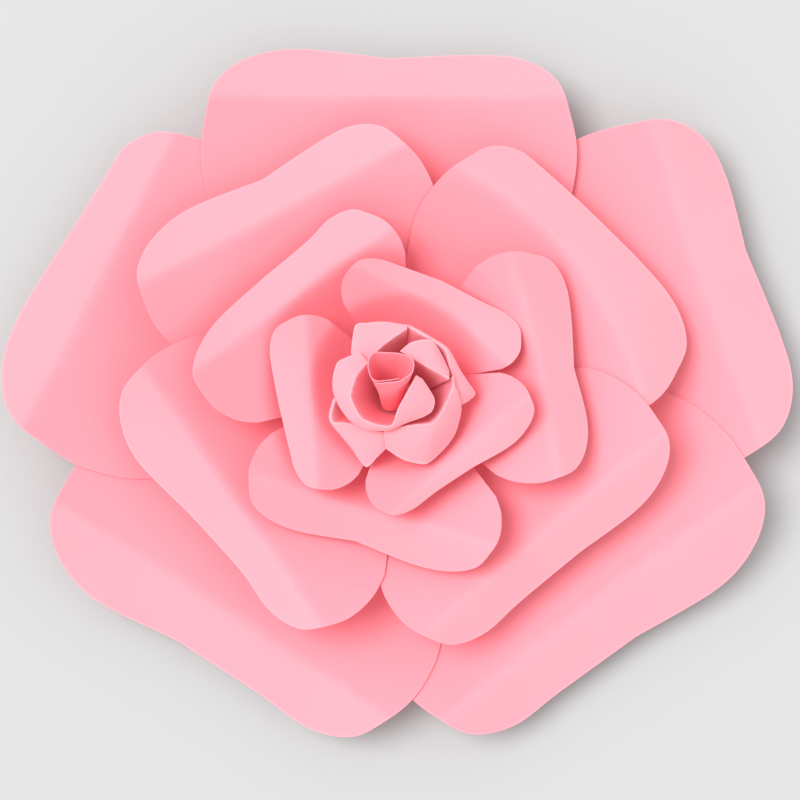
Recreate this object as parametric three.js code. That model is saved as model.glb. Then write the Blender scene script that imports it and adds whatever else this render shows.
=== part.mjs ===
// A giant paper rose: fifteen two-lobed petals in four rings on a round backing disc,
// round a bud of folded and rolled card. Millimetres. +Z points out of the open flower,
// and z = 0 is the back of the disc, which lies on the table or against the wall.
import * as THREE from 'three';

// ---------- driving dimensions ----------

const CARD = 0.3;            // thickness of the cardstock
const DISC_RADIUS = 55;
const DISC_THICK = 0.8;
const DISC_FACETS = 48;
const FOOT_RADIUS = 11;      // the flat, glued foot of every petal lies inside this radius
const FOOT_START = 3;        // the feet begin this far from the flower's axis

// Petals of a ring share one cup. It rises from the feet to `lift` at `rim`, steeper
// outwards by the power `deepen`, and eases off beyond the rim by the slope `ease`.
// `level` is the height of the lowest foot and `pitch` the step from one petal to the next.
// Past its roll line a petal bends down by the slope `roll`, tightening by `curl` per mm.
const RINGS = {
  outer: {
    level: 1.4, pitch: 1.1, rim: 150, lift: 20, deepen: 2.1, ease: 0.05,
    roll: 0.42, curl: 0.004, crease: 2.5, footWidth: 15, tone: 0xf9b4c2,
  },
  second: {
    level: 6.8, pitch: 1.8, rim: 105, lift: 33, deepen: 1.5, ease: 0.15,
    roll: 0.62, curl: 0.005, crease: 2.2, footWidth: 12, tone: 0xf9b0bf,
  },
  third: {
    level: 13.4, pitch: 1.8, rim: 68, lift: 37, deepen: 1.4, ease: 0.5,
    roll: 0.78, curl: 0.01, crease: 2, footWidth: 10, tone: 0xf8abbb,
  },
  inner: {
    level: 18.8, pitch: 2.1, rim: 44, lift: 35, deepen: 1.25, ease: 0.8,
    roll: 0.7, curl: 0.012, crease: 2, footWidth: 8, tone: 0xf7a6b7,
  },
};

// Each petal's own cut and place, seen with the heading pointing away from the viewer:
// heading in degrees, then how far the notch and the left and right lobes reach, the half
// widths left and right, and the roll line's distance, turn from the heading and bow.
// In a ring the petals are listed from the lowest to the topmost.
const PETALS = [
  { ring: 'outer', heading: 21, notch: 189, reach: [193, 190], wide: [84, 100], roll: [163, -2, 0] },
  { ring: 'outer', heading: -47, notch: 177, reach: [187, 171], wide: [104, 105], roll: [149, -6, 0] },
  { ring: 'outer', heading: -131, notch: 174, reach: [167, 185], wide: [110, 98], roll: [146, 8, 0] },
  { ring: 'outer', heading: 156, notch: 185, reach: [191, 180], wide: [104, 74], roll: [160, -3, 0] },
  { ring: 'outer', heading: 92, notch: 166, reach: [172, 166], wide: [97, 94], roll: [146, -2, 0] },
  { ring: 'second', heading: 124, notch: 124, reach: [132, 124], wide: [85, 71], roll: [105, -6, 0] },
  { ring: 'second', heading: 44, notch: 129, reach: [127, 130], wide: [60, 95], roll: [106, 0, 0.003] },
  { ring: 'second', heading: -43, notch: 124, reach: [130, 119], wide: [77, 86], roll: [103, -7, 0] },
  { ring: 'second', heading: -149, notch: 125, reach: [117, 133], wide: [87, 75], roll: [101, 4, 0] },
  { ring: 'third', heading: 141, notch: 86, reach: [90, 81], wide: [67, 58], roll: [65, -15, 0] },
  { ring: 'third', heading: -106, notch: 82, reach: [85, 85], wide: [68, 60], roll: [64, 0, 0] },
  { ring: 'third', heading: 5, notch: 87, reach: [88, 91], wide: [60, 55], roll: [69, 8, 0.001] },
  { ring: 'inner', heading: 68, notch: 55, reach: [54, 53], wide: [45, 49], roll: [41, -12, 0.002] },
  { ring: 'inner', heading: 191, notch: 61, reach: [60, 61], wide: [45, 42], roll: [44, -7, 0] },
  { ring: 'inner', heading: -49, notch: 55, reach: [59, 52], wide: [45, 49], roll: [46, 0, 0] },
];

// Half of the petal template, from beside the notch round the lobe to the flank.
// The first number is a share of the lobe's reach and the second of the half width.
const LOBE = [[1, 0.45], [0.98, 0.72], [0.91, 0.9], [0.8, 0.97], [0.69, 1], [0.57, 0.97], [0.48, 0.9]];

const HALF_COLUMNS = 9;      // facets along half of a petal's edge
const CUP_ROWS = 6;          // facets from the foot to the roll line
const CUP_SPREAD = 1.3;      // power that crowds those facets towards the foot
const BAND_ROWS = 2;         // facets from the roll line to the edge
const LEAST_CUP_SHARE = 0.55;    // the roll line never takes more or less of a ray from
const MOST_CUP_SHARE = 0.86;     // foot to edge than these shares

// The bud stands a little off the flower's axis, on the feet of the inner petals.
const BUD_PLACE = [1.5, -6, 27.5];
const FOLD_LENGTH = 1;       // a fold's rounding starts this far from its line

// Folded bud petals, in the bud's own frame. A station is the point on the folded rim and
// the point on the flap's free edge beyond it. `foot` is the radius of the arc on which the
// wall stands and the bearings, in degrees, where that arc starts and ends.
const BUD_PETALS = [
  {
    name: 'bud_cup_petal', foot: [4.6, 135, 390], stations: [
      [[-17, 16.2, 46.6], [-21.5, 21, 45]],
      [[-20, 12.8, 47.5], [-27.5, 18.5, 44.7]],
      [[-22.6, 9.5, 48.5], [-32, 16, 44]],
      [[-24.6, 4, 48.5], [-34.2, 9, 43.5]],
      [[-25.5, -0.5, 48.5], [-34, 1.5, 43.5]],
      [[-23.5, -6, 48], [-30.5, -6.5, 43.5]],
      [[-20, -11.3, 47.5], [-24.5, -13.5, 44]],
      [[-13.5, -14.2, 47], [-16, -17, 44.5]],
      [[-6.5, -15, 46.5], [-6.5, -17, 44.5]],
      [[-4.5, -12.5, 47], [1.5, -13.5, 43.8]],
      [[-2.5, -6.5, 48.5], [9.8, -10.5, 43.3]],
      [[0.5, -1, 49.5], [14.2, -7.5, 43.8]],
      [[3.5, 4.5, 50], [15.2, -1.5, 45.5]],
      [[6.3, 9.8, 50.5], [9.5, 7.8, 49]],
    ],
  },
  {
    name: 'bud_inner_petal', foot: [6.2, 95, 0], stations: [
      [[4, 18.3, 45.5], [-1.5, 21.5, 44.5]],
      [[9, 15.5, 46.2], [3.6, 25.6, 44]],
      [[13.5, 12.8, 46.7], [10.5, 27.3, 43.6]],
      [[16, 11.4, 46.7], [15, 25.8, 43.3]],
      [[19.5, 9.6, 46.5], [19, 19.5, 42.8]],
      [[22.5, 7.8, 45.8], [22.4, 12.2, 43.6]],
    ],
  },
  {
    name: 'bud_wrap_petal_1', foot: [8, 160, 95], stations: [
      [[-19.4, 14.8, 43.5], [-25.5, 20.5, 41.5]],
      [[-14, 20.5, 43.5], [-23.5, 34, 39]],
      [[-9, 25, 43.5], [-17.5, 35.5, 39]],
      [[-4, 28.7, 43.5], [-8.5, 36, 40]],
      [[2, 32.8, 43], [1.5, 34.3, 42]],
    ],
  },
  {
    name: 'bud_wrap_petal_2', foot: [9.4, 100, 5], stations: [
      [[-3.5, 32, 39.2], [-3.2, 33.6, 38.3]],
      [[1.8, 33.6, 40.3], [2, 34.6, 39.5]],
      [[6, 31.5, 42.3], [6.8, 32.5, 41.4]],
      [[11.5, 28.3, 42.5], [12.4, 29.3, 41.6]],
      [[20.5, 22.3, 42], [22, 23, 41]],
      [[22.8, 14, 41], [28, 12.5, 38.5]],
      [[24.8, 8, 40.5], [32, 6.5, 36.5]],
      [[26, 4, 40], [35.5, 1, 34.5]],
      [[26.6, 1, 39.4], [32.6, -2.4, 34.5]],
      [[26.8, -1.5, 38.8], [27.6, -5.2, 36.6]],
    ],
  },
  {
    name: 'bud_wrap_petal_3', foot: [7.2, 8, -112], stations: [
      [[23.8, 9, 42.6], [24.9, 9.4, 42]],
      [[24.5, 5.5, 43], [25.6, 4.8, 42]],
      [[23.8, 3, 42.8], [27.2, 0.6, 40.9]],
      [[22.5, -0.5, 42.5], [28.6, -7, 36.8]],
      [[19.7, -7, 42], [26, -18, 33]],
      [[17, -11, 41.5], [21, -25.5, 33]],
      [[15, -13, 41.5], [12, -33.5, 35]],
      [[12.5, -13.8, 41.5], [4, -32.8, 37]],
      [[2.5, -14.8, 41.5], [-1.5, -30.8, 38]],
      [[-9.5, -17, 41.5], [-8.5, -26, 40]],
    ],
  },
  {
    name: 'bud_wrap_petal_4', foot: [8, 262, 175], stations: [
      [[-6, -18.4, 39.6], [-7.4, -25, 37.9]],
      [[-15, -17.3, 40.3], [-13, -30.6, 36.8]],
      [[-25, -14.2, 40.5], [-18.4, -35.1, 35.5]],
      [[-30.2, -13.4, 40.5], [-26.5, -24.5, 37.5]],
      [[-34.3, -13.2, 40.5], [-35, -14.2, 39.6]],
      [[-35.2, -9.2, 40.5], [-36.3, -9.4, 39.6]],
      [[-33, -1.8, 40], [-34.1, -1.4, 39]],
    ],
  },
];

// The rolled heart of the bud: a sheet wound round a leaning axis. The rim starts at the
// roll's outer end, goes once round and laps inside itself. It climbs towards the viewer by
// `CONE_LEAN`, and the sheet narrows to a coil round `CONE_TIP`.
const CONE_RIM = [
  [-12.9, 5.6], [-7.2, 6.2], [-1.5, 7], [4.3, 10.9], [5.3, 15.2], [3.9, 18.2], [-1.5, 20.3], [-7.3, 20.7],
  [-13.9, 20.9], [-16.6, 17.7], [-17, 13.3], [-15.5, 8.6], [-12.6, 6.9], [-7.1, 7.3], [-2, 8.1],
];
const CONE_MIDDLE = [-6, 13.8, 53.5];
const CONE_LEAN = 0.5;
const CONE_TIP = [-6, -1.5, 25];
const CONE_TIP_RADII = [6.3, 3.6];   // at the coil's outer and inner end
const CONE_TIP_BEARINGS = [-131, 310];

// ---------- sheets of card ----------

// A ramp that is flat before 0 and climbs one for one after it, rounded over `width`.
function softRamp(x, width) {
  return (x + Math.hypot(x, width)) / 2;
}

// A closed sheet of card over a grid of mid-surface points, grid[row][column].
function sheetGeometry(grid) {
  const rows = grid.length;
  const columns = grid[0].length;
  const positions = [];
  const normal = new THREE.Vector3();
  const along = new THREE.Vector3();
  const across = new THREE.Vector3();
  for (const side of [1, -1]) {
    for (let row = 0; row < rows; row++) {
      for (let column = 0; column < columns; column++) {
        const before = grid[Math.max(row - 1, 0)][column];
        const after = grid[Math.min(row + 1, rows - 1)][column];
        const left = grid[row][Math.max(column - 1, 0)];
        const right = grid[row][Math.min(column + 1, columns - 1)];
        along.subVectors(after, before);
        across.subVectors(right, left);
        normal.crossVectors(along, across).setLength(side * CARD / 2);
        const point = grid[row][column];
        positions.push(point.x + normal.x, point.y + normal.y, point.z + normal.z);
      }
    }
  }
  const index = [];
  const quad = (a, b, c, d) => index.push(a, b, c, a, c, d);
  const face = (row, column) => row * columns + column;
  const back = rows * columns;
  for (let row = 0; row < rows - 1; row++) {
    for (let column = 0; column < columns - 1; column++) {
      const a = face(row, column);
      const b = face(row + 1, column);
      const c = face(row + 1, column + 1);
      const d = face(row, column + 1);
      quad(a, b, c, d);
      quad(back + a, back + d, back + c, back + b);
    }
  }
  const rim = [];
  for (let column = 0; column < columns - 1; column++) rim.push(face(0, column));
  for (let row = 0; row < rows - 1; row++) rim.push(face(row, columns - 1));
  for (let column = columns - 1; column > 0; column--) rim.push(face(rows - 1, column));
  for (let row = rows - 1; row > 0; row--) rim.push(face(row, 0));
  rim.forEach((a, i) => {
    const b = rim[(i + 1) % rim.length];
    quad(a, b, back + b, back + a);
  });
  const geometry = new THREE.BufferGeometry();
  geometry.setAttribute('position', new THREE.Float32BufferAttribute(positions, 3));
  geometry.setIndex(index);
  geometry.computeVertexNormals();
  return geometry;
}

function cardMaterial(tone) {
  return new THREE.MeshStandardMaterial({ color: tone, roughness: 0.82, metalness: 0 });
}

// ---------- petals ----------

// Half of the cut edge, from the notch to the flank. `side` is 1 left and -1 right.
function halfEdge(petal, side) {
  const pick = side > 0 ? 0 : 1;
  const points = LOBE.map(([out, over]) => (
    new THREE.Vector2(out * petal.reach[pick], side * over * petal.wide[pick])));
  return new THREE.SplineCurve([new THREE.Vector2(petal.notch, 0), ...points]);
}

// Height of the card over the petal's foot at a point of its own plane.
function petalHeight(ring, roll, x, y) {
  const radius = Math.hypot(x, y);
  const climb = Math.max(radius - FOOT_RADIUS, 0) / (ring.rim - FOOT_RADIUS);
  const cup = ring.lift * climb ** ring.deepen - ring.ease * softRamp(radius - ring.rim, ring.crease);
  const past = softRamp(beyondRoll(roll, x, y), ring.crease);
  return cup - ring.roll * past - ring.curl * past * past / 2;
}

function beyondRoll([distance, turn, bow], x, y) {
  const angle = THREE.MathUtils.degToRad(turn);
  const out = x * Math.cos(angle) + y * Math.sin(angle);
  const over = y * Math.cos(angle) - x * Math.sin(angle);
  return out - distance + bow * over * over;
}

// Share of the way from foot to edge at which the ray between them meets the roll line.
function rollShare(roll, foot, edge) {
  const before = beyondRoll(roll, foot.x, foot.y);
  const after = beyondRoll(roll, edge.x, edge.y);
  return THREE.MathUtils.clamp(before / (before - after), LEAST_CUP_SHARE, MOST_CUP_SHARE);
}

function petalGrid(petal) {
  const ring = RINGS[petal.ring];
  const left = halfEdge(petal, 1).getPoints(HALF_COLUMNS).reverse();
  const right = halfEdge(petal, -1).getPoints(HALF_COLUMNS).slice(1);
  const edge = [...left, ...right];
  const grid = [];
  for (let row = 0; row <= CUP_ROWS + BAND_ROWS; row++) {
    grid.push(edge.map((rimPoint, column) => {
      const over = 1 - 2 * column / (edge.length - 1);
      const foot = new THREE.Vector2(FOOT_START, over * ring.footWidth);
      const bend = rollShare(petal.roll, foot, rimPoint);
      const band = (row - CUP_ROWS) / BAND_ROWS;
      const share = row <= CUP_ROWS ? bend * (row / CUP_ROWS) ** CUP_SPREAD : bend + (1 - bend) * band;
      const point = foot.lerp(rimPoint, share);
      return new THREE.Vector3(point.x, point.y, petalHeight(ring, petal.roll, point.x, point.y));
    }));
  }
  return grid;
}

function petalMeshes() {
  const placed = {};
  return PETALS.map((petal) => {
    const ring = RINGS[petal.ring];
    const order = placed[petal.ring] ?? 0;
    placed[petal.ring] = order + 1;
    const mesh = new THREE.Mesh(sheetGeometry(petalGrid(petal)), cardMaterial(ring.tone));
    mesh.name = `${petal.ring}_petal_${order + 1}`;
    mesh.rotation.z = THREE.MathUtils.degToRad(petal.heading);
    mesh.position.z = ring.level + order * ring.pitch;
    return mesh;
  });
}

// ---------- bud ----------

// Rows of one folded bud petal: foot, mid wall, three over the rounded fold, free edge.
function foldedGrid({ foot, stations }) {
  const [radius, from, to] = foot;
  const grid = [[], [], [], [], [], []];
  stations.forEach(([rimPoint, edgePoint], i) => {
    const bearing = THREE.MathUtils.degToRad(from + (to - from) * i / (stations.length - 1));
    const base = new THREE.Vector3(radius * Math.cos(bearing), radius * Math.sin(bearing), 0);
    const rim = new THREE.Vector3(...rimPoint);
    const edge = new THREE.Vector3(...edgePoint);
    const inner = rim.clone().add(base.clone().sub(rim).setLength(FOLD_LENGTH));
    const reach = Math.min(FOLD_LENGTH, rim.distanceTo(edge) / 2);
    const outer = rim.clone().add(edge.clone().sub(rim).setLength(reach));
    const crown = new THREE.QuadraticBezierCurve3(inner, rim, outer).getPoint(0.5);
    const wall = base.clone().lerp(rim, 0.5);
    [base, wall, inner, crown, outer, edge].forEach((point, row) => grid[row].push(point));
  });
  return grid;
}

// The rolled cone, ruled from its rim to the coil round its tip.
function coneGrid() {
  const tip = new THREE.Vector3(...CONE_TIP);
  const grid = [[], [], []];
  CONE_RIM.forEach(([x, y], i) => {
    const wound = i / (CONE_RIM.length - 1);
    const rim = new THREE.Vector3(x, y, CONE_MIDDLE[2] - CONE_LEAN * (y - CONE_MIDDLE[1]));
    const radius = THREE.MathUtils.lerp(...CONE_TIP_RADII, wound);
    const bearing = THREE.MathUtils.degToRad(THREE.MathUtils.lerp(...CONE_TIP_BEARINGS, wound));
    const coil = new THREE.Vector3(radius * Math.cos(bearing), radius * Math.sin(bearing), 0).add(tip);
    [coil, coil.clone().lerp(rim, 0.5), rim].forEach((point, row) => grid[row].push(point));
  });
  return grid;
}

function budGroup() {
  const bud = new THREE.Group();
  bud.position.set(...BUD_PLACE);
  for (const petal of BUD_PETALS) {
    const mesh = new THREE.Mesh(sheetGeometry(foldedGrid(petal)), cardMaterial(RINGS.inner.tone));
    mesh.name = petal.name;
    bud.add(mesh);
  }
  const cone = new THREE.Mesh(sheetGeometry(coneGrid()), cardMaterial(RINGS.inner.tone));
  cone.name = 'bud_rolled_cone';
  bud.add(cone);
  return bud;
}

// ---------- backing disc ----------

function backingDisc() {
  const geometry = new THREE.CylinderGeometry(DISC_RADIUS, DISC_RADIUS, DISC_THICK, DISC_FACETS);
  const mesh = new THREE.Mesh(geometry, cardMaterial(RINGS.outer.tone));
  mesh.name = 'backing_disc';
  mesh.rotation.x = Math.PI / 2;
  mesh.position.z = DISC_THICK / 2;
  return mesh;
}

const flower = new THREE.Group();
flower.add(backingDisc(), ...petalMeshes(), budGroup());

export default flower;
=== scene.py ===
import math

import bpy
import numpy as np
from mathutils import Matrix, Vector


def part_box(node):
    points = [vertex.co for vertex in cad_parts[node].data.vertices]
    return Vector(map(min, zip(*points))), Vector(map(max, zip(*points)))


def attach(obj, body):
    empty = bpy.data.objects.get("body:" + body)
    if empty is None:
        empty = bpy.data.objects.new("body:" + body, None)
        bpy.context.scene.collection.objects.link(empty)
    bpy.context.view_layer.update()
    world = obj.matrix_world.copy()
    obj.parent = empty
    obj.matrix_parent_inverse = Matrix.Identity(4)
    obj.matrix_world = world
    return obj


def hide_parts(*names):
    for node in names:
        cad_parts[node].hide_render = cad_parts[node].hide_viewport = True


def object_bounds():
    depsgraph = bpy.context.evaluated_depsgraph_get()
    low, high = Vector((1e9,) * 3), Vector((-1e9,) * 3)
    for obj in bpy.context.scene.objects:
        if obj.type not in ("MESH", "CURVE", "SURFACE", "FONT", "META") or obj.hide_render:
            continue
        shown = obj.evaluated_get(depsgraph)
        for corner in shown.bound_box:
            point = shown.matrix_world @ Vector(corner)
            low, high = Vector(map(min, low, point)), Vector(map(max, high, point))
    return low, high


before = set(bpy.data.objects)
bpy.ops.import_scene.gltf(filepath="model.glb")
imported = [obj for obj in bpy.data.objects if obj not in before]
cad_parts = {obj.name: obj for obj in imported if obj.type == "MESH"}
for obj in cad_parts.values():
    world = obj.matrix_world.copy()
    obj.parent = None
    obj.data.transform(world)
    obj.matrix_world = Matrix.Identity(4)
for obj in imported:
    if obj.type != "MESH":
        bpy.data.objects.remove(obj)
cad_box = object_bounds()

# The giant paper rose, sheet by sheet. Every petal is cut and curled again here at full
# detail over its plain solid. Lengths are millimetres until a mesh is written.

MM = 0.001
CARD = 0.3                 # thickness of the cardstock
FOOT_RADIUS = 11           # petals are flat and glued inside this radius
FOOT_START = 3

# The cup that a ring's petals share, and how they roll down past their roll lines.
RINGS = {
    "outer": dict(rim=150, lift=20, deepen=2.1, ease=0.05, roll=0.42, curl=0.004, crease=2.5, foot=15),
    "second": dict(rim=105, lift=33, deepen=1.5, ease=0.15, roll=0.62, curl=0.005, crease=2.2, foot=12),
    "third": dict(rim=68, lift=37, deepen=1.4, ease=0.5, roll=0.78, curl=0.01, crease=2, foot=10),
    "inner": dict(rim=44, lift=35, deepen=1.25, ease=0.8, roll=0.7, curl=0.012, crease=2, foot=8),
}

# Heading, notch reach, lobe reaches and half widths left and right, and the roll line's
# distance, turn and bow, for each petal from the lowest of its ring to the topmost.
PETALS = {
    "outer_petal_1": (21, 189, (193, 190), (84, 100), (163, -2, 0)),
    "outer_petal_2": (-47, 177, (187, 171), (104, 105), (149, -6, 0)),
    "outer_petal_3": (-131, 174, (167, 185), (110, 98), (146, 8, 0)),
    "outer_petal_4": (156, 185, (191, 180), (104, 74), (160, -3, 0)),
    "outer_petal_5": (92, 166, (172, 166), (97, 94), (146, -2, 0)),
    "second_petal_1": (124, 124, (132, 124), (85, 71), (105, -6, 0)),
    "second_petal_2": (44, 129, (127, 130), (60, 95), (106, 0, 0.003)),
    "second_petal_3": (-43, 124, (130, 119), (77, 86), (103, -7, 0)),
    "second_petal_4": (-149, 125, (117, 133), (87, 75), (101, 4, 0)),
    "third_petal_1": (141, 86, (90, 81), (67, 58), (65, -15, 0)),
    "third_petal_2": (-106, 82, (85, 85), (68, 60), (64, 0, 0)),
    "third_petal_3": (5, 87, (88, 91), (60, 55), (69, 8, 0.001)),
    "inner_petal_1": (68, 55, (54, 53), (45, 49), (41, -12, 0.002)),
    "inner_petal_2": (191, 61, (60, 61), (45, 42), (44, -7, 0)),
    "inner_petal_3": (-49, 55, (59, 52), (45, 49), (46, 0, 0)),
}
LOBE = ((1, 0.45), (0.98, 0.72), (0.91, 0.9), (0.8, 0.97), (0.69, 1), (0.57, 0.97), (0.48, 0.9))

EDGE_STEPS = 72            # cuts along half of a petal's edge
CUP_STEPS = 34             # cuts from the foot to the roll line
BAND_STEPS = 20            # cuts from the roll line to the edge

BUD_PLACE = (1.5, -6)
FOLD_LENGTH = 0.8          # from a bud petal's rim to where its bend starts
SHARP_ANGLE = 50           # degrees; a cut edge is sharper than this and a bend is not

# Folded bud petals: the foot's radius and bearings, then stations of folded rim and free edge.
BUD_PETALS = {
    "bud_cup_petal": ((4.6, 135, 390), (
        ((-17, 16.2, 46.6), (-21.5, 21, 45)),
        ((-20, 12.8, 47.5), (-27.5, 18.5, 44.7)),
        ((-22.6, 9.5, 48.5), (-32, 16, 44)),
        ((-24.6, 4, 48.5), (-34.2, 9, 43.5)),
        ((-25.5, -0.5, 48.5), (-34, 1.5, 43.5)),
        ((-23.5, -6, 48), (-30.5, -6.5, 43.5)),
        ((-20, -11.3, 47.5), (-24.5, -13.5, 44)),
        ((-13.5, -14.2, 47), (-16, -17, 44.5)),
        ((-6.5, -15, 46.5), (-6.5, -17, 44.5)),
        ((-4.5, -12.5, 47), (1.5, -13.5, 43.8)),
        ((-2.5, -6.5, 48.5), (9.8, -10.5, 43.3)),
        ((0.5, -1, 49.5), (14.2, -7.5, 43.8)),
        ((3.5, 4.5, 50), (15.2, -1.5, 45.5)),
        ((6.3, 9.8, 50.5), (9.5, 7.8, 49)))),
    "bud_inner_petal": ((6.2, 95, 0), (
        ((4, 18.3, 45.5), (-1.5, 21.5, 44.5)),
        ((9, 15.5, 46.2), (3.6, 25.6, 44)),
        ((13.5, 12.8, 46.7), (10.5, 27.3, 43.6)),
        ((16, 11.4, 46.7), (15, 25.8, 43.3)),
        ((19.5, 9.6, 46.5), (19, 19.5, 42.8)),
        ((22.5, 7.8, 45.8), (22.4, 12.2, 43.6)))),
    "bud_wrap_petal_1": ((8, 160, 95), (
        ((-19.4, 14.8, 43.5), (-25.5, 20.5, 41.5)),
        ((-14, 20.5, 43.5), (-23.5, 34, 39)),
        ((-9, 25, 43.5), (-17.5, 35.5, 39)),
        ((-4, 28.7, 43.5), (-8.5, 36, 40)),
        ((2, 32.8, 43), (1.5, 34.3, 42)))),
    "bud_wrap_petal_2": ((9.4, 100, 5), (
        ((-3.5, 32, 39.2), (-3.2, 33.6, 38.3)),
        ((1.8, 33.6, 40.3), (2, 34.6, 39.5)),
        ((6, 31.5, 42.3), (6.8, 32.5, 41.4)),
        ((11.5, 28.3, 42.5), (12.4, 29.3, 41.6)),
        ((20.5, 22.3, 42), (22, 23, 41)),
        ((22.8, 14, 41), (28, 12.5, 38.5)),
        ((24.8, 8, 40.5), (32, 6.5, 36.5)),
        ((26, 4, 40), (35.5, 1, 34.5)),
        ((26.6, 1, 39.4), (32.6, -2.4, 34.5)),
        ((26.8, -1.5, 38.8), (27.6, -5.2, 36.6)))),
    "bud_wrap_petal_3": ((7.2, 8, -112), (
        ((23.8, 9, 42.6), (24.9, 9.4, 42)),
        ((24.5, 5.5, 43), (25.6, 4.8, 42)),
        ((23.8, 3, 42.8), (27.2, 0.6, 40.9)),
        ((22.5, -0.5, 42.5), (28.6, -7, 36.8)),
        ((19.7, -7, 42), (26, -18, 33)),
        ((17, -11, 41.5), (21, -25.5, 33)),
        ((15, -13, 41.5), (12, -33.5, 35)),
        ((12.5, -13.8, 41.5), (4, -32.8, 37)),
        ((2.5, -14.8, 41.5), (-1.5, -30.8, 38)),
        ((-9.5, -17, 41.5), (-8.5, -26, 40)))),
    "bud_wrap_petal_4": ((8, 262, 175), (
        ((-6, -18.4, 39.6), (-7.4, -25, 37.9)),
        ((-15, -17.3, 40.3), (-13, -30.6, 36.8)),
        ((-25, -14.2, 40.5), (-18.4, -35.1, 35.5)),
        ((-30.2, -13.4, 40.5), (-26.5, -24.5, 37.5)),
        ((-34.3, -13.2, 40.5), (-35, -14.2, 39.6)),
        ((-35.2, -9.2, 40.5), (-36.3, -9.4, 39.6)),
        ((-33, -1.8, 40), (-34.1, -1.4, 39)))),
}

# The rolled heart's rim, wound once round and lapping inside itself, and the coil at its tip.
CONE_RIM = (
    (-12.9, 5.6), (-7.2, 6.2), (-1.5, 7), (4.3, 10.9), (5.3, 15.2),
    (3.9, 18.2), (-1.5, 20.3), (-7.3, 20.7), (-13.9, 20.9), (-16.6, 17.7),
    (-17, 13.3), (-15.5, 8.6), (-12.6, 6.9), (-7.1, 7.3), (-2, 8.1))
CONE_MIDDLE = (-6, 13.8, 53.5)
CONE_LEAN = 0.5
CONE_TIP = (-6, -1.5, 25)
CONE_TIP_RADII = (6.3, 3.6)
CONE_TIP_BEARINGS = (-131, 310)


# ---------- shader nodes ----------

class Wire:
    """A value on its way through a finish's nodes. Arithmetic on it adds Math nodes."""

    def __init__(self, finish, socket):
        self.finish = finish
        self.socket = socket

    def math(self, operation, first, second):
        return self.finish.node("ShaderNodeMath", {"operation": operation}, {0: first, 1: second})

    def __add__(self, other):
        return self.math("ADD", self, other)

    def __sub__(self, other):
        return self.math("SUBTRACT", self, other)

    def __rsub__(self, other):
        return self.math("SUBTRACT", other, self)

    def __mul__(self, other):
        return self.math("MULTIPLY", self, other)

    def __pow__(self, other):
        return self.math("POWER", self, other)

    __radd__ = __add__
    __rmul__ = __mul__


class Finish:
    """One material under construction, with its Principled shader."""

    def __init__(self, name):
        self.material = bpy.data.materials.new(name)
        self.material.use_nodes = True
        self.tree = self.material.node_tree
        self.shader = self.tree.nodes["Principled BSDF"]

    def node(self, kind, settings, sockets, output=0):
        made = self.tree.nodes.new(kind)
        for key, value in settings.items():
            setattr(made, key, value)
        for key, value in sockets.items():
            self.feed(made.inputs[key], value)
        return Wire(self, made.outputs[output])

    def feed(self, socket, value):
        if isinstance(value, Wire):
            self.tree.links.new(value.socket, socket)
        else:
            socket.default_value = value

    def set(self, **sockets):
        for key, value in sockets.items():
            self.feed(self.shader.inputs[key.replace("_", " ")], value)

    def attribute(self, name, output):
        return self.node("ShaderNodeAttribute", {"attribute_name": name}, {}, output)

    def noise(self, place, scale, detail, roughness=0.55):
        sockets = {"Vector": place, "Scale": scale, "Detail": detail, "Roughness": roughness}
        return self.node("ShaderNodeTexNoise", {}, sockets, "Fac")

    def stretch(self, place, factors):
        return self.node("ShaderNodeVectorMath", {"operation": "MULTIPLY"}, {0: place, 1: factors})

    def band(self, value, low, high):
        """0 below low, 1 above high, smooth between."""
        sockets = {"Value": value, "From Min": low, "From Max": high}
        return self.node("ShaderNodeMapRange", {"interpolation_type": "SMOOTHSTEP"}, sockets)

    def mix(self, share, first, second):
        made = {"data_type": "RGBA", "clamp_factor": True}
        return self.node("ShaderNodeMix", made, {0: share, 6: first, 7: second}, 2)

    def bump(self, height, distance, strength):
        sockets = {"Height": height, "Distance": distance, "Strength": strength}
        return self.node("ShaderNodeBump", {}, sockets)


def card_finish(name, tone, mottle_and_painted_shade, pale):
    """Dyed cardstock: matt, slightly mottled, with pressed fibres and a paler cut edge.

    The cup has the painted shade of a deeper tone, and the rolled band beyond it the lighter one; a
    painted highlight runs along the creases.
    """
    finish = Finish(name)
    flat = finish.attribute("flat", "Vector")
    clouds = finish.noise(flat, 26, 3)
    pulp = finish.noise(flat, 420, 4, 0.65)
    fibres = finish.noise(finish.stretch(flat, (1, 3.2, 1)), 1500, 3, 0.7)
    edge = finish.attribute("edge", "Fac")
    crease = finish.attribute("crease", "Fac")
    mottle = 0.55 * clouds + 0.25 * pulp + 0.2 * fibres
    # Painted shade: the cups take the darker colour and the rolled bands the lighter one, with the
    # mottle moving it a little either way.
    rolled = finish.attribute("rolled", "Fac")
    sheet = finish.mix(0.3 * finish.band(mottle, 0.3, 0.72) + 0.7 * rolled, mottle_and_painted_shade, tone)
    # Painted highlight: the creases go paler, broken up by the pulp noise.
    fold_highlight = finish.mix(crease * finish.band(pulp, 0.3, 0.6) * 0.6, sheet, pale)
    colour = finish.mix(edge * 0.45, fold_highlight, pale)
    grain = 0.55 * pulp + 0.45 * fibres
    finish.set(
        Base_Color=colour,
        Roughness=0.72 + 0.2 * grain,
        Normal=finish.bump(grain, 0.00012, 0.4),
        Specular_IOR_Level=0.2,
    )
    return finish.material


def floor_finish():
    """A smooth, painted, pale studio board."""
    finish = Finish("studio_board")
    place = finish.node("ShaderNodeTexCoord", {}, {}, "Object")
    clouds = finish.noise(place, 3, 3)
    tooth = finish.noise(place, 900, 2)
    colour = finish.mix(clouds, (0.494, 0.496, 0.498, 1), (0.508, 0.51, 0.512, 1))
    finish.set(Base_Color=colour, Roughness=0.8 + 0.1 * tooth, Normal=finish.bump(tooth, 0.0001, 0.2))
    return finish.material


# ---------- sheets of card ----------

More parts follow.
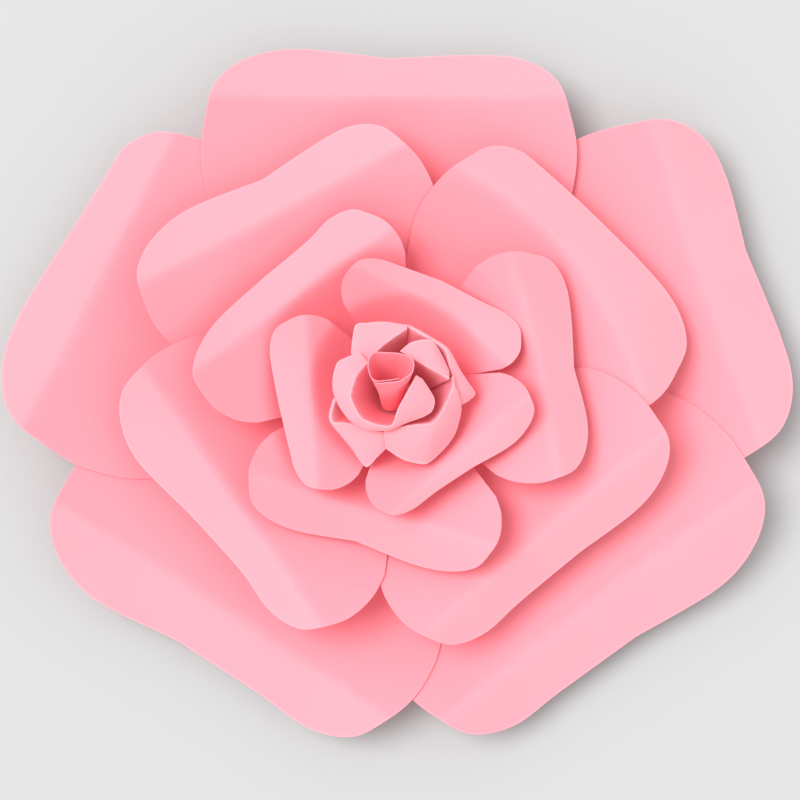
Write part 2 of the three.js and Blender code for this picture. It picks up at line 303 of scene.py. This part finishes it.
def smooth_curve(points, count, corner=0.5):
    """Points along a smooth curve through the given ones, ends included."""
    points = np.asarray(points, float)
    spans = len(points) - 1
    place = np.linspace(0, spans, count)
    step = np.minimum(place.astype(int), spans - 1)
    share = (place - step)[:, None]
    before = points[np.maximum(step - 1, 0)]
    first = points[step]
    second = points[step + 1]
    after = points[np.minimum(step + 2, spans)]
    leave = (second - before) * corner
    arrive = (after - first) * corner
    cubic = 2 * first - 2 * second + leave + arrive
    square = -3 * first + 3 * second - 2 * leave - arrive
    return ((cubic * share + square) * share + leave) * share + first


def soft_ramp(x, width):
    """Flat before 0, one for one after it, rounded over the width."""
    return (x + np.hypot(x, width)) / 2


def unit(vectors):
    return vectors / np.maximum(np.linalg.norm(vectors, axis=-1, keepdims=True), 1e-9)


def sheet_normals(grid):
    along = np.gradient(grid, axis=0)
    across = np.gradient(grid, axis=1)
    return unit(np.cross(along, across))


def add_card(name, points, faces, flat, marks, finish):
    """A piece of card in place of its node. `flat` is where each point lies on the uncut sheet."""
    mesh = bpy.data.meshes.new(name)
    mesh.from_pydata(points * MM, [], faces)
    for label, values in marks.items():
        layer = mesh.attributes.new(label, "FLOAT", "POINT")
        layer.data.foreach_set("value", values.astype(np.float32))
    layer = mesh.attributes.new("flat", "FLOAT_VECTOR", "POINT")
    layer.data.foreach_set("vector", (flat * MM).ravel().astype(np.float32))
    mesh.shade_smooth()
    mesh.set_sharp_from_angle(angle=math.radians(SHARP_ANGLE))
    mesh.materials.append(finish)
    card = bpy.data.objects.new(name + "_card", mesh)
    bpy.context.scene.collection.objects.link(card)
    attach(card, "root")
    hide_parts(name)


def cut_sheet(name, grid, flat, marks, finish):
    """A closed sheet of card about a grid of mid-surface points."""
    rows, columns = grid.shape[:2]
    half = sheet_normals(grid) * CARD / 2
    points = np.concatenate([(grid + half).reshape(-1, 3), (grid - half).reshape(-1, 3)])
    front = np.arange(rows * columns).reshape(rows, columns)
    near_left, far_left = front[:-1, :-1].ravel(), front[1:, :-1].ravel()
    far_right, near_right = front[1:, 1:].ravel(), front[:-1, 1:].ravel()
    back = rows * columns
    front_quads = np.stack([near_left, far_left, far_right, near_right], 1)
    back_quads = np.stack([near_left, near_right, far_right, far_left], 1) + back
    rim = np.concatenate([front[0, :-1], front[:-1, -1], front[-1, :0:-1], front[:0:-1, 0]])
    ahead = np.roll(rim, -1)
    side_quads = np.stack([rim, ahead, ahead + back, rim + back], 1)
    quads = np.concatenate([front_quads, back_quads, side_quads])
    both = {label: np.tile(values.ravel(), 2) for label, values in marks.items()}
    add_card(name, points, quads.tolist(), np.tile(flat.reshape(-1, 3), (2, 1)), both, finish)


def edge_marks(rows, columns):
    """1 along the free edge and both flanks of a sheet and 0 inside them."""
    marks = np.zeros((rows, columns))
    marks[-1, :] = 1
    marks[:, 0] = 1
    marks[:, -1] = 1
    return marks


# ---------- petals ----------

def petal_edge(notch, reach, wide):
    """The cut edge in the petal's plane, from the left flank round to the right one."""
    halves = []
    for side, lobe_reach, half_width in ((1, reach[0], wide[0]), (-1, reach[1], wide[1])):
        points = [(notch, 0)] + [(out * lobe_reach, side * over * half_width) for out, over in LOBE]
        halves.append(smooth_curve(points, EDGE_STEPS + 1))
    return np.concatenate([halves[0][::-1], halves[1][1:]])


def beyond_roll(roll, place):
    """How far each place lies past the roll line. It is negative inside the cup."""
    distance, turn, bow = roll
    angle = math.radians(turn)
    out = place[..., 0] * math.cos(angle) + place[..., 1] * math.sin(angle)
    over = place[..., 1] * math.cos(angle) - place[..., 0] * math.sin(angle)
    return out - distance + bow * over * over


def petal_height(ring, roll, place, seed):
    """Height over the petal's foot: the shared cup, the roll, and the hand's small waves."""
    radius = np.hypot(place[..., 0], place[..., 1])
    climb = np.maximum(radius - FOOT_RADIUS, 0) / (ring["rim"] - FOOT_RADIUS)
    cup = ring["lift"] * climb ** ring["deepen"]
    cup = cup - ring["ease"] * soft_ramp(radius - ring["rim"], ring["crease"])
    past = soft_ramp(beyond_roll(roll, place), ring["crease"])
    bearing = np.arctan2(place[..., 1], place[..., 0])
    flutes = 0.18 * np.sin(7 * bearing + seed) * np.clip(climb, 0, 1)
    ripple = 0.012 * past * np.sin(place[..., 1] / 13 + 1.7 * seed)
    return cup - ring["roll"] * past - ring["curl"] * past * past / 2 + flutes + ripple


def make_petal(name, finish, seed):
    heading, notch, reach, wide, roll = PETALS[name]
    ring = RINGS[name.split("_")[0]]
    edge = petal_edge(notch, reach, wide)
    columns = len(edge)
    foot = np.stack([np.full(columns, FOOT_START), np.linspace(ring["foot"], -ring["foot"], columns)], 1)
    before = beyond_roll(roll, foot)
    bend = np.clip(before / (before - beyond_roll(roll, edge)), 0.55, 0.86)
    cup_rows = bend[None] * (np.linspace(0, 1, CUP_STEPS)[:, None] ** 1.1)
    band_rows = bend[None] + (1 - bend[None]) * np.linspace(0, 1, BAND_STEPS + 1)[1:, None]
    share = np.concatenate([cup_rows, band_rows])[..., None]
    place = foot[None] + share * (edge - foot)[None]
    height = petal_height(ring, roll, place, seed)
    grid = np.concatenate([place, height[..., None]], 2)
    angle = math.radians(heading)
    turned = grid.copy()
    turned[..., 0] = grid[..., 0] * math.cos(angle) - grid[..., 1] * math.sin(angle)
    turned[..., 1] = grid[..., 0] * math.sin(angle) + grid[..., 1] * math.cos(angle)
    turned[..., 2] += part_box(name)[0].z / MM + CARD / 2
    flat = np.concatenate([place, np.full(place.shape[:2] + (1,), 40 * seed)], 2)
    past = beyond_roll(roll, place)
    marks = {
        "edge": edge_marks(*place.shape[:2]),
        # crease places the painted highlight along the roll line, and rolled the band that is spared the
        # painted cup shade.
        "crease": np.exp(-(past / 2.5) ** 2) * 0.25,
        "rolled": np.clip((past + 2) / 4, 0, 1),
    }
    cut_sheet(name, turned, flat, marks, finish)


# ---------- bud ----------

def make_bud_petal(name, seat, finish, seed):
    """A wall that stands on its foot arc, folds over a rim and runs out into a free flap."""
    (radius, start, end), stations = BUD_PETALS[name]
    columns = 12 * (len(stations) - 1) + 1
    bearing = np.radians(np.linspace(start, end, columns))
    foot = np.stack([radius * np.cos(bearing), radius * np.sin(bearing), np.zeros(columns)], 1)
    rim = smooth_curve([station[0] for station in stations], columns, 0.4)
    edge = smooth_curve([station[1] for station in stations], columns, 0.4)
    flap = np.linalg.norm(edge - rim, axis=1, keepdims=True)
    inner = rim + unit(foot - rim) * FOLD_LENGTH
    outer = rim + unit(edge - rim) * np.minimum(FOLD_LENGTH, flap / 2)
    rows = [foot + (inner - foot) * share for share in np.linspace(0, 1, 14)]
    for share in np.linspace(0, 1, 7)[1:-1]:
        rows.append((1 - share) ** 2 * inner + 2 * share * (1 - share) * rim + share ** 2 * outer)
    for share in np.linspace(0, 1, 12):
        droop = np.array([0, 0, 0.05]) * flap * 4 * share * (1 - share)
        rows.append(outer + (edge - outer) * share + droop)
    grid = np.stack(rows)
    # The rows round the fold get the painted highlight, the flap past the fold the lighter tone, and the
    # wall below it the painted shade.
    crease = np.zeros(grid.shape[:2])
    crease[13:19] = 1
    rolled = np.zeros(grid.shape[:2])
    rolled[15:] = 1
    walked = np.cumsum(np.linalg.norm(np.diff(rim, axis=0, prepend=rim[:1]), axis=1))
    flat = np.zeros(grid.shape)
    flat[..., 0] = np.linspace(0, 60, len(rows))[:, None]
    flat[..., 1] = walked[None]
    flat[..., 2] = 40 * seed
    place_in_bud(grid, seat)
    marks = {"edge": edge_marks(*grid.shape[:2]), "crease": crease, "rolled": rolled}
    cut_sheet(name, grid, flat, marks, finish)


def place_in_bud(grid, seat):
    grid[..., 0] += BUD_PLACE[0]
    grid[..., 1] += BUD_PLACE[1]
    grid[..., 2] += seat


def make_cone(seat, finish, seed):
    """The rolled heart: a sheet wound round a leaning axis, its outer end over the inner one."""
    columns = 14 * (len(CONE_RIM) - 1) + 1
    wound = np.linspace(0, 1, columns)
    rim = np.empty((columns, 3))
    rim[:, :2] = smooth_curve(CONE_RIM, columns, 0.32)
    rim[:, 2] = CONE_MIDDLE[2] - CONE_LEAN * (rim[:, 1] - CONE_MIDDLE[1])
    radius = CONE_TIP_RADII[0] + (CONE_TIP_RADII[1] - CONE_TIP_RADII[0]) * wound
    turned = CONE_TIP_BEARINGS[1] - CONE_TIP_BEARINGS[0]
    bearing = np.radians(CONE_TIP_BEARINGS[0] + turned * wound)
    coil = np.stack([radius * np.cos(bearing), radius * np.sin(bearing), np.zeros(columns)], 1)
    coil = coil + CONE_TIP
    grid = np.stack([coil + (rim - coil) * share for share in np.linspace(0, 1, 26)])
    flat = np.zeros(grid.shape)
    flat[..., 0] = np.linspace(0, 38, len(grid))[:, None]
    flat[..., 1] = 80 * wound[None]
    flat[..., 2] = 40 * seed
    place_in_bud(grid, seat)
    # No rolled share: the whole cone takes the darker, painted-shade colour.
    plain = np.zeros(grid.shape[:2])
    marks = {"edge": edge_marks(*grid.shape[:2]), "crease": plain, "rolled": plain}
    cut_sheet("bud_rolled_cone", grid, flat, marks, finish)


# ---------- backing disc ----------

def make_disc(finish):
    """The round card that the petals are glued to, with its cut edge slightly rounded."""
    low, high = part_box("backing_disc")
    radius = (high.x - low.x) / 2 / MM
    thick = (high.z - low.z) / MM
    bearing = np.linspace(0, 2 * math.pi, 145)
    profile = [(0.5, 0), (radius * 0.5, 0), (radius - 0.15, 0), (radius, 0.15), (radius, thick - 0.15),
               (radius - 0.15, thick), (radius * 0.5, thick), (0.5, thick)]
    vertices, quads = [], []
    ring = len(bearing) - 1
    for out, height in profile:
        for angle in bearing[:-1]:
            vertices.append((out * math.cos(angle), out * math.sin(angle), height))
    for row in range(len(profile) - 1):
        inner, outer = row * ring, (row + 1) * ring
        for step in range(ring):
            ahead = (step + 1) % ring
            quads.append((inner + step, inner + ahead, outer + ahead, outer + step))
    quads.append(tuple(reversed(range(ring))))
    quads.append(tuple(range((len(profile) - 1) * ring, len(profile) * ring)))
    points = np.array(vertices)
    # No rolled share: the disc takes its darker, painted-shade colour all over, as the cups do.
    plain = np.zeros(len(points))
    marks = {"edge": plain, "crease": plain, "rolled": plain}
    add_card("backing_disc", points, quads, points, marks, finish)


# ---------- studio ----------

def make_floor():
    mesh = bpy.data.meshes.new("studio_floor")
    half = 6
    corners = [(-half, -half, 0), (half, -half, 0), (half, half, 0), (-half, half, 0)]
    mesh.from_pydata(corners, [], [(0, 1, 2, 3)])
    mesh.materials.append(floor_finish())
    floor = bpy.data.objects.new("studio_floor", mesh)
    floor.location.z = cad_box[0][2] - 0.0002
    bpy.context.scene.collection.objects.link(floor)


def make_camera():
    """Straight above the flower, looking down, with +Y up the picture."""
    camera = bpy.data.cameras.new("camera")
    camera.lens = 104
    camera.sensor_width = 36
    holder = bpy.data.objects.new("camera", camera)
    holder.location = (0, -0.0083, 1.2)
    bpy.context.scene.collection.objects.link(holder)
    bpy.context.scene.camera = holder


def make_lights():
    """Even, bright air and one wide, soft window from the upper left."""
    world = bpy.data.worlds.new("studio_air")
    world.use_nodes = True
    world.node_tree.nodes["Background"].inputs["Color"].default_value = (1, 1, 1, 1)
    world.node_tree.nodes["Background"].inputs["Strength"].default_value = 0.93
    bpy.context.scene.world = world
    window = bpy.data.lights.new("window_light", "SUN")
    window.angle = math.radians(34)
    window.energy = 2.3
    holder = bpy.data.objects.new("window_light", window)
    bearing, height = math.radians(155), math.radians(62)
    level = math.cos(height)
    aim = Vector((math.cos(bearing) * level, math.sin(bearing) * level, math.sin(height)))
    holder.rotation_euler = aim.to_track_quat("Z", "Y").to_euler()
    bpy.context.scene.collection.objects.link(holder)
    bpy.context.scene.view_settings.view_transform = "Standard"


# ---------- the flower ----------

# Each finish's second colour is the mottle's darker tone and the painted shade of the cups, bud walls,
# cone and disc; its third is the paler cut core and the painted fold highlight.
MOTTLE_AND_PAINTED_SHADE = (0.98, 0.292, 0.352, 1)
PALE_CORE_AND_HIGHLIGHT = (0.99, 0.42, 0.475, 1)
FINISHES = {
    "outer": card_finish("outer_card", (0.985, 0.328, 0.384, 1), MOTTLE_AND_PAINTED_SHADE, PALE_CORE_AND_HIGHLIGHT),
    "second": card_finish("second_card", (0.985, 0.328, 0.384, 1), MOTTLE_AND_PAINTED_SHADE, PALE_CORE_AND_HIGHLIGHT),
    "third": card_finish("third_card", (0.985, 0.322, 0.378, 1), MOTTLE_AND_PAINTED_SHADE, PALE_CORE_AND_HIGHLIGHT),
    "inner": card_finish("inner_card", (0.985, 0.322, 0.378, 1), MOTTLE_AND_PAINTED_SHADE, PALE_CORE_AND_HIGHLIGHT),
    "bud": card_finish("bud_card", (0.985, 0.33, 0.385, 1), MOTTLE_AND_PAINTED_SHADE, (0.99, 0.5, 0.56, 1)),
    "disc": card_finish("disc_card", (0.98, 0.31, 0.365, 1), (0.97, 0.285, 0.34, 1), PALE_CORE_AND_HIGHLIGHT),
}

make_camera()
make_lights()
make_floor()
for count, petal in enumerate(PETALS):
    make_petal(petal, FINISHES[petal.split("_")[0]], count + 1)
bud_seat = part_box("bud_cup_petal")[0].z / MM
for count, petal in enumerate(BUD_PETALS):
    make_bud_petal(petal, bud_seat, FINISHES["bud"], count + 21)
make_cone(bud_seat, FINISHES["bud"], 31)
make_disc(FINISHES["disc"])
